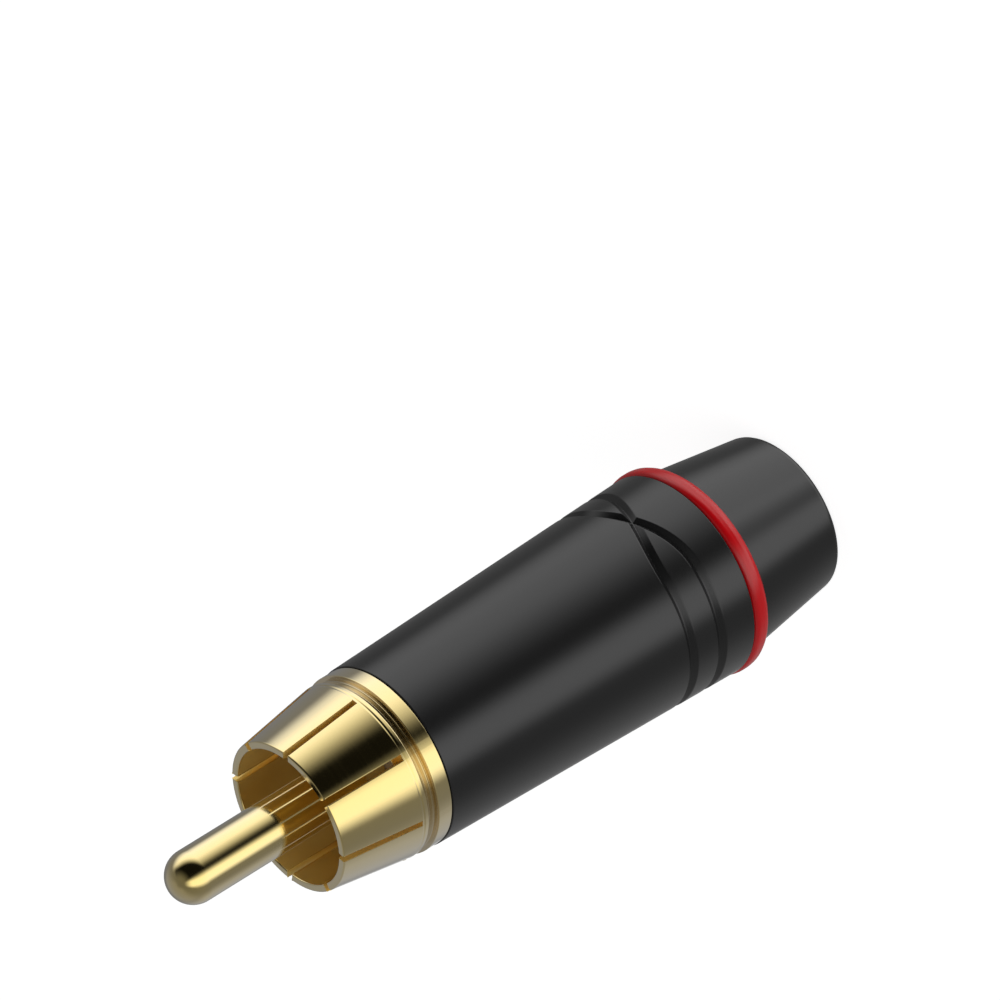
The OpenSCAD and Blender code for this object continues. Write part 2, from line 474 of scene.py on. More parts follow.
def close_cut(
    bm: BMesh,
    rim: list[BMEdge],
    end_z: float,
    walls: list[Callable[[Vector], bool]],
    finish: int = 0,
) -> None:
    """Closes a lengthwise cut with its walls and its end face.

    Args:
        bm: The mesh with the cut.
        rim: The cut's open edges.
        end_z: Height of the cut's closed end.
        walls: For each wall, a test of whether a point of the rim lies on it.
        finish: Number of the finish on the new faces.
    """
    end = [e for e in rim if all(abs(v.co.z - end_z) < NEAR for v in e.verts)]
    for on_wall in walls:
        wall = [e for e in rim if e not in end and all(on_wall(v.co) for v in e.verts)]
        foot = {v for e in wall for v in e.verts if abs(v.co.z - end_z) < NEAR}
        across = bm.edges.new(tuple(foot))
        end.append(across)
        bmesh.ops.edgeloop_fill(bm, edges=wall + [across], mat_nr=finish)
    bmesh.ops.edgeloop_fill(bm, edges=end, mat_nr=finish)


@dataclass(frozen=True)
class SlotRow:
    """A row of straight slots, sawn lengthwise into a turned wall.

    Attributes:
        count: Number of slots. The first is centred on +X.
        width: Width of a slot, the same at every radius.
        end_z: Height of the slots' closed end. The outline has corners there.
        open_end: The end at which the slots run out.
        inner_r: Smallest radius that a slot reaches.
        edge_round: Rounding of the slots' edges, or 0.
        columns: Number of steps from one slot to half-way to the next.
        wall_finish: Number of the finish on the slots' walls.
    """

    count: int
    width: float
    end_z: float
    open_end: OpenEnd
    inner_r: float
    edge_round: float
    columns: int
    wall_finish: int = 0

    def turn(self, corners: list[Corner]) -> BMesh:
        """Turns an outline with the slots in it: one sector, cut and then repeated.

        Args:
            corners: The closed outline's corners in order.

        Returns:
            The slotted mesh, in millimetres.
        """
        bm = bmesh.new()
        draw_outline(bm, corners)
        half = math.pi / self.count
        strip = 1.5 * math.asin(self.width / 2 / self.inner_r)
        bmesh.ops.rotate(bm, verts=bm.verts, cent=ORIGIN, matrix=Matrix.Rotation(-half, 3, "Z"))
        last = bm.verts[:] + bm.edges[:]
        beside = (half - strip, self.columns)
        for angle, steps in (beside, (2 * strip, 1), beside):
            last = bmesh.ops.spin(
                bm, geom=last, cent=ORIGIN, axis=AXIS, angle=angle, steps=steps
            )["geom_last"]
        self.saw(bm, strip)
        bmesh.ops.spin(
            bm,
            geom=bm.verts[:] + bm.edges[:] + bm.faces[:],
            cent=ORIGIN,
            axis=AXIS,
            angle=TURN * (self.count - 1) / self.count,
            steps=self.count - 1,
            use_duplicate=True,
        )
        close_up(bm)
        return bm

    def saw(self, bm: BMesh, strip: float) -> None:
        """Cuts the slot of the sector on +X and closes its walls.

        Args:
            bm: The sector's mesh.
            strip: Half of the angle of the column of faces that holds the slot.
        """
        edge_y = self.width / 2
        hold_y = edge_y + max(2 * self.edge_round, HOLD)
        for y in (-hold_y, -edge_y, edge_y, hold_y):
            faces = [f for f in bm.faces if self.bearing(f) < strip]
            parts = {p for f in faces for p in (f, *f.edges, *f.verts)}
            bmesh.ops.bisect_plane(
                bm,
                geom=list(parts),
                dist=NEAR / 10,
                plane_co=(0.0, y, 0.0),
                plane_no=(0.0, 1.0, 0.0),
            )
        for vert in bm.verts:
            if abs(vert.co.y) < hold_y + NEAR and vert.co.x > 0:
                full_r = vert.co.x / math.cos(strip)
                vert.co.x = math.sqrt(full_r**2 - vert.co.y**2)
        reach = self.open_end.value
        sawn = []
        for face in bm.faces:
            middle = face.calc_center_median()
            beyond = (middle.z - self.end_z) * reach > 0
            if beyond and abs(middle.y) < edge_y and self.bearing(face) < strip:
                sawn.append(face)
        bmesh.ops.delete(bm, geom=sawn, context="FACES")
        rim = [
            e
            for e in bm.edges
            if e.is_boundary and all(abs(v.co.y) < edge_y + NEAR and v.co.x > 0 for v in e.verts)
        ]
        walls = [lambda p, y=y: abs(p.y - y) < NEAR for y in (-edge_y, edge_y)]
        close_cut(bm, rim, self.end_z, walls, self.wall_finish)
        if self.edge_round:
            bmesh.ops.bevel(
                bm,
                geom=rim,
                offset=self.edge_round,
                offset_type="OFFSET",
                segments=2,
                profile=0.5,
                affect="EDGES",
                clamp_overlap=False,
                material=-1,
            )

    @staticmethod
    def bearing(face: BMFace) -> float:
        """Gives the angle between +X and a face's middle."""
        middle = face.calc_center_median()
        return abs(math.atan2(middle.y, middle.x))


@dataclass(frozen=True)
class Thread:
    """A fine screw thread that is cut into a turned wall.

    Attributes:
        r: Radius of the wall, which stays as the thread's crest.
        low: Height of the thread's lower end.
        high: Height of its upper end.
        wall: The side of the wall that is cut.
        pitch: Rise of one turn.
        depth: Depth of the thread.
    """

    r: float
    low: float
    high: float
    wall: Wall
    pitch: float = 0.75
    depth: float = 0.2

    def cut(self, bm: BMesh) -> None:
        """Moves the wall's points in or out to the thread's surface.

        Args:
            bm: The turned mesh, with close rows along the thread.
        """
        for vert in bm.verts:
            radius, z = math.hypot(vert.co.x, vert.co.y), vert.co.z
            if abs(radius - self.r) > NEAR or not self.low < z < self.high:
                continue
            turns = z / self.pitch - math.atan2(vert.co.y, vert.co.x) / TURN
            share = (1 - math.cos(turns * TURN)) / 2
            run_out = min(z - self.low, self.high - z) / self.pitch
            sunk = self.depth * share * min(run_out, 1.0)
            vert.co.xy *= (self.r + self.wall.value * sunk) / self.r


@dataclass(frozen=True)
class Piece:
    """What a finished mesh becomes in the scene.

    Attributes:
        name: The piece's name.
        node: The CAD node that it stands for.
        body: The body that it rides on.
        slot: The material slot; not used.
        finish: Its finish.
        others: The finishes of the faces that are marked 1, 2 and so on.
        crease: Angle in degrees past which an edge is drawn sharp.
    """

    name: str
    node: str
    body: Body
    slot: Slot
    finish: Finish
    others: tuple[Finish, ...] = ()
    crease: float = 40.0

    def make(self, bm: BMesh) -> None:
        """Turns a mesh in millimetres to a dressed object in metres, in place on its body.

        Args:
            bm: The mesh, which is freed.
        """
        bmesh.ops.scale(bm, vec=(MM, MM, MM), verts=bm.verts)
        mesh = bpy.data.meshes.new(self.name)
        bm.to_mesh(mesh)
        bm.free()
        mesh.polygons.foreach_set("use_smooth", [True] * len(mesh.polygons))
        mesh.set_sharp_from_angle(angle=math.radians(self.crease))
        for finish in (self.finish, *self.others):
            mesh.materials.append(finish.material())
        piece = bpy.data.objects.new(self.name, mesh)
        bpy.context.scene.collection.objects.link(piece)
        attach(piece, self.body.value)
        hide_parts(self.node)
        log.info("%s: %d faces, rides on %s", self.name, len(mesh.polygons), self.body.value)


@dataclass
class Contacts:
    """The front sub-assembly: slotted sleeve, centre pin, insulator and ground tag."""

    pin_r: float = 1.59
    tip_z: float = 45.92
    shank_r: float = 1.2
    cup_r: float = 0.8
    cup_z: float = 19.28
    cup_depth: float = 3.6
    window: float = 2.4
    rim_z: float = 37.52
    rim_r: float = 4.638
    socket_r: float = 4.18
    socket_z: float = 31.52
    petals: int = 8
    slot_w: float = 0.38
    petal_z: float = 32.32
    petal_root_r: float = 5.42
    slot_stop: float = 0.14
    slot_round: float = 0.025
    slot_columns: int = 14
    rim_round: float = 0.09
    nick_r: float = 5.4
    nick_half_w: float = 0.08
    band_z: float = 32.02
    band_r: float = 5.435
    relief_z: float = 31.35
    relief_r: float = 5.12
    bead_z: float = 31.54
    bead_r: float = 5.31
    # From the bead's middle to its edges and to the groove's bottom in front of it
    bead_half_w: float = 0.04
    bead_to_groove: float = 0.16
    # Bottom of the narrower groove behind the bead
    rear_groove_r: float = 5.2
    rear_groove_z: float = 31.39
    # Rounding of the turned edges and of the grooves' bottoms
    crisp: float = 0.03
    groove_round: float = 0.02
    flange_r: float = 5.545
    flange_z: float = 30.40
    head_z: float = 30.62
    spigot_r: float = 4.45
    spigot_z: float = 25.40
    spigot_round: float = 0.15
    # Plain ends and rows of the spigot's thread
    thread_start: float = 0.16
    thread_stop: float = 0.3
    thread_rows: int = 84
    neck_r: float = 3.45
    lip_r: float = 3.6
    lip_z: float = 24.98
    rear_z: float = 24.68
    insulator_r: float = 2.9
    press_clear: float = 0.01
    lug_r: float = 4.25
    lug_t: float = 0.4
    tongue_w: float = 2.4
    tongue_len: float = 6.6
    tongue_hole_r: float = 0.6
    bend_r: float = 0.2
    bend_steps: int = 6
    nose_steps: int = 28
    pin_columns: int = 96
    bush_columns: int = 128
    tag_columns: int = 160
    hole_columns: int = 48

    def build(self) -> None:
        """Builds the four pieces and dresses them."""
        self.sleeve()
        self.pin()
        self.insulator()
        self.tag()

    def sleeve(self) -> None:
        """Builds the ground contact: petals, band, relief, flange, threaded spigot and neck."""
        inner_r = self.insulator_r + self.press_clear
        slot_z = self.petal_z + self.slot_stop
        lean = (self.petal_root_r - self.rim_r) / (self.rim_z - self.petal_z)
        cone_end_r = self.petal_root_r - lean * self.nick_half_w
        corners = [
            Corner(inner_r, self.rear_z, 0.05),
            Corner(self.lip_r, self.rear_z, 0.1),
            Corner(self.lip_r, self.lip_z),
            Corner(self.neck_r, self.lip_z),
            Corner(self.neck_r, self.spigot_z),
            Corner(self.spigot_r, self.spigot_z, self.spigot_round, self.thread_rows),
            Corner(self.spigot_r, self.flange_z),
            Corner(self.flange_r, self.flange_z, self.crisp),
            Corner(self.flange_r, self.relief_z, self.crisp),
            Corner(self.rear_groove_r, self.rear_groove_z, self.groove_round),
            Corner(self.bead_r, self.bead_z - self.bead_half_w, self.crisp),
            Corner(self.bead_r, self.bead_z + self.bead_half_w, self.crisp),
            Corner(self.relief_r, self.bead_z + self.bead_to_groove, self.groove_round),
            Corner(self.band_r, self.band_z, self.crisp),
            Corner(self.band_r, self.petal_z - self.nick_half_w, self.crisp),
            Corner(self.nick_r, self.petal_z, self.crisp),
            Corner(cone_end_r, self.petal_z + self.nick_half_w, self.crisp),
            Corner(self.petal_root_r - lean * self.slot_stop, slot_z),
            Corner(self.rim_r, self.rim_z, self.rim_round),
            Corner(self.socket_r, self.rim_z, self.rim_round),
            Corner(self.socket_r, slot_z),
            Corner(self.socket_r, self.head_z),
            Corner(inner_r, self.head_z),
        ]
        slots = SlotRow(
            self.petals,
            self.slot_w,
            slot_z,
            OpenEnd.FRONT,
            self.socket_r,
            self.slot_round,
            self.slot_columns,
            # The slots' walls take the bore's deeper-tinted plating: painted bounce light.
            SleeveFace.BORE,
        )
        bm = slots.turn(corners)
        bore_r = self.socket_r + NEAR
        for face in bm.faces:
            points = [v.co for v in face.verts]
            # The bore's faces take the deeper-tinted plating: painted bounce light.
            if all(p.z > self.head_z and p.xy.length < bore_r for p in points):
                face.material_index = SleeveFace.BORE
            # The relief's faces take the darker plating: painted shade.
            elif all(self.relief_z - NEAR < p.z < self.band_z for p in points):
                face.material_index = SleeveFace.RELIEF
        low, high = self.spigot_z + self.thread_start, self.flange_z - self.thread_stop
        Thread(self.spigot_r, low, high, Wall.OUTSIDE).cut(bm)
        Piece(
            "slotted_sleeve",
            "contact_sleeve",
            Body.CONTACTS,
            Slot.GOLD,
            GOLD_PLATE,
            (GOLD_BORE_PAINTED_BOUNCE, GOLD_RELIEF_PAINTED_SHADE),
        ).make(bm)

    def pin(self) -> None:
        """Builds the signal pin: round nose, straight contact, shank and open solder cup."""
        cup_top = self.cup_z + self.cup_depth
        window_z = self.cup_z + self.window
        nose_z = self.tip_z - self.pin_r
        bm = bmesh.new()
        nose = bm.verts.new((0.0, 0.0, self.tip_z))
        bmesh.ops.spin(
            bm,
            geom=[nose],
            cent=(0.0, 0.0, nose_z),
            axis=(0.0, 1.0, 0.0),
            angle=TURN / 4,
            steps=self.nose_steps,
        )
        draw_outline(
            bm,
            [
                Corner(self.pin_r, nose_z),
                Corner(self.pin_r, self.socket_z, 0.08),
                Corner(self.shank_r, self.socket_z),
                Corner(self.shank_r, window_z),
                Corner(self.shank_r, self.cup_z, 0.06),
                Corner(self.cup_r, self.cup_z, 0.06),
                Corner(self.cup_r, window_z),
                Corner(self.cup_r, cup_top),
                Corner(0.0, cup_top),
            ],
            closed=False,
        )
        sweep(bm, self.pin_columns)
        self.open_cup(bm, window_z)
        Piece("round_nosed_pin", "centre_pin", Body.CONTACTS, Slot.GOLD, GOLD_PLATE).make(bm)

    @staticmethod
    def open_cup(bm: BMesh, window_z: float) -> None:
        """Cuts away the half of the solder cup's wall that faces +Y.

        Args:
            bm: The turned pin.
            window_z: Height of the window's closed end.
        """
        away = []
        for face in bm.faces:
            middle = face.calc_center_median()
            if middle.y > 0 and middle.z < window_z - NEAR:
                away.append(face)
        bmesh.ops.delete(bm, geom=away, context="FACES")
        rim = [e for e in bm.edges if e.is_boundary]
        close_cut(bm, rim, window_z, [lambda p: p.x < 0, lambda p: p.x > 0])
        bmesh.ops.recalc_face_normals(bm, faces=bm.faces)

    def insulator(self) -> None:
        """Builds the headed bush between the pin and the sleeve."""
        bore_r = self.shank_r + self.press_clear
        head_r = self.socket_r - self.press_clear
        under_z = self.head_z + self.press_clear
        face_z = self.socket_z - self.press_clear
        bm = turn(
            [
                Corner(bore_r, self.rear_z, 0.06),
                Corner(self.insulator_r, self.rear_z, 0.1),
                Corner(self.insulator_r, under_z),
                Corner(head_r, under_z),
                Corner(head_r, face_z, 0.1),
                Corner(bore_r, face_z),
            ],
            self.bush_columns,
        )
        Piece("pin_bush", "pin_insulator", Body.CONTACTS, Slot.INSULATOR, NATURAL_ACETAL).make(bm)

    def tag(self) -> None:
        """Builds the solder tag: a stamped ring on the neck, with one tongue bent to the rear."""
        top = self.spigot_z - self.press_clear
        under = top - self.lug_t
        bore_r = self.neck_r + self.press_clear
        bm = turn(
            [
                Corner(bore_r, under, 0.03),
                Corner(self.lug_r, under, 0.05),
                Corner(self.lug_r, top, 0.05),
                Corner(bore_r, top, 0.03),
            ],
            self.tag_columns,
        )
        self.tongue(bm, top)
        Piece("solder_tag", "ground_lug", Body.CONTACTS, Slot.GOLD, GOLD_SHEET).make(bm)

    def tongue(self, bm: BMesh, top: float) -> None:
        """Adds the tongue: a strip with a round end and a hole, joined to the ring by a bend.

        Args:
            bm: The tag's ring.
            top: Height of the ring's upper face.
        """
        half_w = self.tongue_w / 2
        thick = self.lug_t - self.press_clear
        inner_y = math.sqrt(self.lug_r**2 - half_w**2) - thick
        bend_y = inner_y - self.bend_r
        bend_z = top - self.press_clear / 2 - thick - self.bend_r
        hole_z = self.spigot_z - self.tongue_len + half_w
        for vert in bm.verts:
            if abs(vert.co.x) < half_w:
                vert.co.y = min(vert.co.y, bend_y)
        ring = set(bm.faces)
        place = Matrix.Translation((0.0, inner_y, hole_z)) @ Matrix.Rotation(TURN / 4, 4, "X")
        hole, rim = (
            bmesh.ops.create_circle(bm, segments=self.hole_columns, radius=r, matrix=place)["verts"]
            for r in (self.tongue_hole_r, half_w)
        )
        for vert in rim:
            x, rise = vert.co.x / half_w, (vert.co.z - hole_z) / (bend_z - hole_z)
            if rise > NEAR:
                reach = 1 / max(abs(x), rise)
                top_share = 1.0 if rise * reach > 0.9 else rise * reach
                vert.co.x = half_w * x * reach
                vert.co.z = hole_z + (bend_z - hole_z) * top_share
        edges = {e for v in hole + rim for e in v.link_edges}
        last = [e for e in edges if all(abs(v.co.z - bend_z) < NEAR for v in e.verts)]
        bmesh.ops.bridge_loops(bm, edges=list(edges))
        bmesh.ops.spin(
            bm,
            geom=last + list({v for e in last for v in e.verts}),
            cent=(0.0, bend_y, bend_z),
            axis=(1.0, 0.0, 0.0),
            angle=TURN / 4,
            steps=self.bend_steps,
        )
        sheet = [f for f in bm.faces if f not in ring]
        for part in bmesh.ops.extrude_face_region(bm, geom=sheet)["geom"]:
            if isinstance(part, BMVert):
                away = Vector((0.0, part.co.y - bend_y, max(part.co.z - bend_z, 0.0)))
                part.co += away.normalized() * thick
        bmesh.ops.recalc_face_normals(bm, faces=bm.faces)


@dataclass(frozen=True)
class CrossingGrooves:
    """Two shallow grooves round the barrel, parallel but for one crossing that faces -Y.

    Attributes:
        z: Height of the crossing.
        half_gap: Half of the distance between the parallel grooves.
        half_angle: Angle from the crossing to where the grooves are parallel, in radians.
        width: Width of a groove.
        depth: Depth of a groove.
    """

    z: float = 11.645
    half_gap: float = 1.075
    half_angle: float = math.radians(40)
    width: float = 0.66
    depth: float = 0.28

    def depth_at(self, angle: float, z: float) -> float:
        """Gives how deep the skin is cut at a place.

        Args:
            angle: Angle from the crossing, between minus and plus half a turn.
            z: Height.

        Returns:
            The depth below the skin.
        """
        near = max(-self.half_angle, min(self.half_angle, angle))
        phase = near / self.half_angle * TURN / 4
        rise = self.half_gap * math.sin(phase)
        return max(self.strand(z - self.z - rise), self.strand(z - self.z + rise))

    def strand(self, above: float) -> float:
        """Gives one groove's depth, a plain V, at a height above the groove's middle."""
        return self.depth * max(1 - 2 * abs(above) / self.width, 0.0)


@dataclass
class Shell:
    """The barrel: a slender cone with a thread at each end and two crossing grooves."""

    low: float = 8.15
    high: float = 30.35
    rear_r: float = 6.35
    front_r: float = 5.6
    rear_bore_r: float = 5.2
    front_bore_r: float = 4.5
    cavity_r: float = 4.75
    ledge_r: float = 3.6
    ledge_z: float = 14.75
    ledge_t: float = 0.7
    thread_end: float = 24.9
    edge: float = 0.05
    columns: int = 300
    grooves: CrossingGrooves = CrossingGrooves()
    # Rows of the grooved belt, so many to half a gap that a row lies on each upper edge
    half_gap_rows: int = 27
    rows_below: int = 20
    belt_rows: int = 84
    # Rows of the two threads and the plain lengths at their ends
    front_rows: int = 52
    front_plain: float = 0.2
    rear_rows: int = 62
    rear_plain: float = 0.25
    rear_relief: float = 1.6

    def skin_r(self, z: float) -> float:
        """Gives the radius of the plain skin at a height."""
        return self.rear_r + (self.front_r - self.rear_r) * (z - self.low) / (self.high - self.low)

    def build(self) -> None:
        """Builds the barrel and dresses it."""
        row_h = self.grooves.half_gap / self.half_gap_rows
        upper_edge = self.grooves.z - self.grooves.half_gap + self.grooves.width / 2
        belt_low = upper_edge - self.rows_below * row_h
        belt_high = belt_low + self.belt_rows * row_h
        ledge_top = self.ledge_z + self.ledge_t
        bm = turn(
            [
                Corner(self.rear_bore_r, self.low, 0.2),
                Corner(self.rear_r, self.low, self.edge),
                Corner(self.skin_r(belt_low), belt_low, 0, self.belt_rows),
                Corner(self.skin_r(belt_high), belt_high),
                Corner(self.front_r, self.high, self.edge),
                Corner(self.front_bore_r, self.high, 0.15, self.front_rows),
                Corner(self.front_bore_r, self.thread_end),
                Corner(self.cavity_r, self.thread_end - (self.cavity_r - self.front_bore_r)),
                Corner(self.cavity_r, ledge_top + self.cavity_r - self.ledge_r, 0.2),
                Corner(self.ledge_r, ledge_top, 0.1),
                Corner(self.ledge_r, self.ledge_z, 0.1),
                Corner(self.rear_bore_r, self.ledge_z, 0, self.rear_rows),
            ],
            self.columns,
        )
        top, low = self.high - self.front_plain, self.low + self.rear_plain
        Thread(self.front_bore_r, self.thread_end, top, Wall.INSIDE).cut(bm)
        Thread(self.rear_bore_r, low, self.ledge_z - self.rear_relief, Wall.INSIDE).cut(bm)
        self.cut_grooves(bm, belt_low, belt_high)
        Piece("barrel_shell", "barrel", Body.BARREL, Slot.SHELL, BLACK_PAINT).make(bm)

    def cut_grooves(self, bm: BMesh, belt_low: float, belt_high: float) -> None:
        """Refines the belt about the crossing and sinks the grooves into the skin.

        Args:
            bm: The turned barrel.
            belt_low: Height of the belt's lower end.
            belt_high: Height of its upper end.
        """

        def from_crossing(point: Vector) -> float:
            """Gives a point's angle from -Y, between minus and plus half a turn."""
            return math.atan2(point.x, -point.y)

        def on_belt(point: Vector) -> bool:
            """Says whether a point lies on the outer skin inside the belt."""
            inside = belt_low - NEAR < point.z < belt_high + NEAR
            return inside and math.hypot(point.x, point.y) > self.front_r

        fine = self.grooves.half_angle + math.radians(2)
        close = [
            e
            for e in bm.edges
            if all(on_belt(v.co) and abs(from_crossing(v.co)) < fine for v in e.verts)
        ]
        bmesh.ops.subdivide_edges(bm, edges=close, cuts=1, use_grid_fill=True)
        for vert in bm.verts:
            if on_belt(vert.co):
                z = vert.co.z
                radius = self.skin_r(z) - self.grooves.depth_at(from_crossing(vert.co), z)
                vert.co.xy = vert.co.xy.normalized() * radius


@dataclass
class BackNut:
    """The rear sub-assembly: boot, coding ring and cable chuck."""

    ring_z: float = 6.9
    ring_w: float = 1.2
    ring_bore_r: float = 5.25
    ring_r: float = 6.48
    ring_round: float = 0.6
    ring_front_round: float = 0.35
    boot_r: float = 5.85
    tail_r: float = 4.91
    tail_round: float = 0.4
    hole_r: float = 3.4
    mouth_chamfer: float = 0.3
    hole_top: float = 5.6
    thread_r: float = 5.15
    thread_top: float = 12.45
    taper_r: float = 4.3
    taper_end_r: float = 3.8
    chuck_bore_r: float = 3.15
    chuck_collar_r: float = 5.1
    chuck_low: float = 6.0
    chuck_step: float = 12.55
    chuck_high: float = 14.65
    chuck_wide_r: float = 4.2
    ridge_h: float = 0.15
    ridges: int = 5
    fingers: int = 4
    finger_gap: float = 0.8
    finger_columns: int = 20
    # Rows of the boot's thread and the plain lengths at its ends
    thread_rows: int = 62
    thread_start: float = 0.1
    thread_stop: float = 0.16
    boot_columns: int = 240
    ring_columns: int = 256

    def build(self) -> None:
        """Builds the three pieces and dresses them."""
        self.boot()
        self.ring()
        self.chuck()

    def boot(self) -> None:
        """Builds the back nut: a cone with the cable hole, and a threaded spigot in front."""
        bm = turn(
            [
                Corner(self.hole_r, 0.0, self.mouth_chamfer),
                Corner(self.tail_r, 0.0, self.tail_round),
                Corner(self.boot_r, self.ring_z, 0.08),
                Corner(self.thread_r, self.ring_z, 0, self.thread_rows),
                Corner(self.thread_r, self.thread_top, 0.15),
                Corner(self.taper_r, self.thread_top, 0.1),
                Corner(self.taper_end_r, self.hole_top),
                Corner(self.hole_r, self.hole_top, 0.1),
            ],
            self.boot_columns,
        )
        low = self.ring_z + self.ring_w + self.thread_start
        Thread(self.thread_r, low, self.thread_top - self.thread_stop, Wall.OUTSIDE).cut(bm)
        Piece("back_nut", "boot", Body.BOOT, Slot.BOOT, BLACK_NYLON).make(bm)

    def ring(self) -> None:
        """Builds the coding ring, well rounded on both of its outer edges."""
        top = self.ring_z + self.ring_w
        bm = turn(
            [
                Corner(self.ring_bore_r, top, 0.05),
                Corner(self.ring_bore_r, self.ring_z, 0.05),
                Corner(self.ring_r, self.ring_z, self.ring_round),
                Corner(self.ring_r, top, self.ring_front_round),
            ],
            self.ring_columns,
        )
        Piece("coding_ring", "colour_ring", Body.BOOT, Slot.RING, RED_PLASTIC).make(bm)

    def chuck(self) -> None:
        """Builds the collet: a collar with tapered fingers that have gripping ridges inside."""
        length = self.chuck_step - self.chuck_low
        end_share = (self.thread_top - self.chuck_low) / (self.thread_top - self.hole_top)
        narrow_r = self.chuck_wide_r - (self.taper_r - self.taper_end_r) * end_share
        ridge_step = length / (self.ridges + 1)
        ridge_line = []
        for i in range(self.ridges, 0, -1):
            middle = self.chuck_low + i * ridge_step
            ridge_line += [
                Corner(self.chuck_bore_r, middle + self.ridge_h),
                Corner(self.chuck_bore_r - self.ridge_h, middle, 0.03),
                Corner(self.chuck_bore_r, middle - self.ridge_h),
            ]
        corners = [
            Corner(self.chuck_bore_r, self.chuck_low),
            Corner(narrow_r, self.chuck_low, 0.1),
            Corner(self.chuck_wide_r, self.chuck_step),
            Corner(self.chuck_collar_r, self.chuck_step, 0.1),
            Corner(self.chuck_collar_r, self.chuck_high, 0.15),
            Corner(self.chuck_bore_r, self.chuck_high, 0.15),
            Corner(self.chuck_bore_r, self.chuck_step),
            *ridge_line,
        ]
        slots = SlotRow(
            self.fingers,
            self.finger_gap,
            self.chuck_step,
            OpenEnd.REAR,
            self.chuck_bore_r - self.ridge_h,
            0.0,
            self.finger_columns,
        )
        bm = slots.turn(corners)
        Piece("collet", "cable_chuck", Body.BOOT, Slot.CHUCK, WHITE_NYLON).make(bm)


@dataclass(frozen=True)
class Panel:
    """A far panel of the studio, lit or dark, as a range of directions with soft edges.

    Attributes:
        bearing: Angle of its middle, in degrees from the camera's own side of the plug.
        half_w: Half of its width in degrees, at half strength.
        soft_w: Width of its soft side edges in degrees.
        low: Elevation of its lower edge in degrees, at half strength.
        high: Elevation of its upper edge.
        soft_low: Width of the soft lower edge.
        soft_high: Width of the soft upper edge.
        strength: Light that it gives, where 1 shows white.
    """

    bearing: float
    half_w: float
    soft_w: float
    low: float
    high: float
    soft_low: float
    soft_high: float
    strength: float


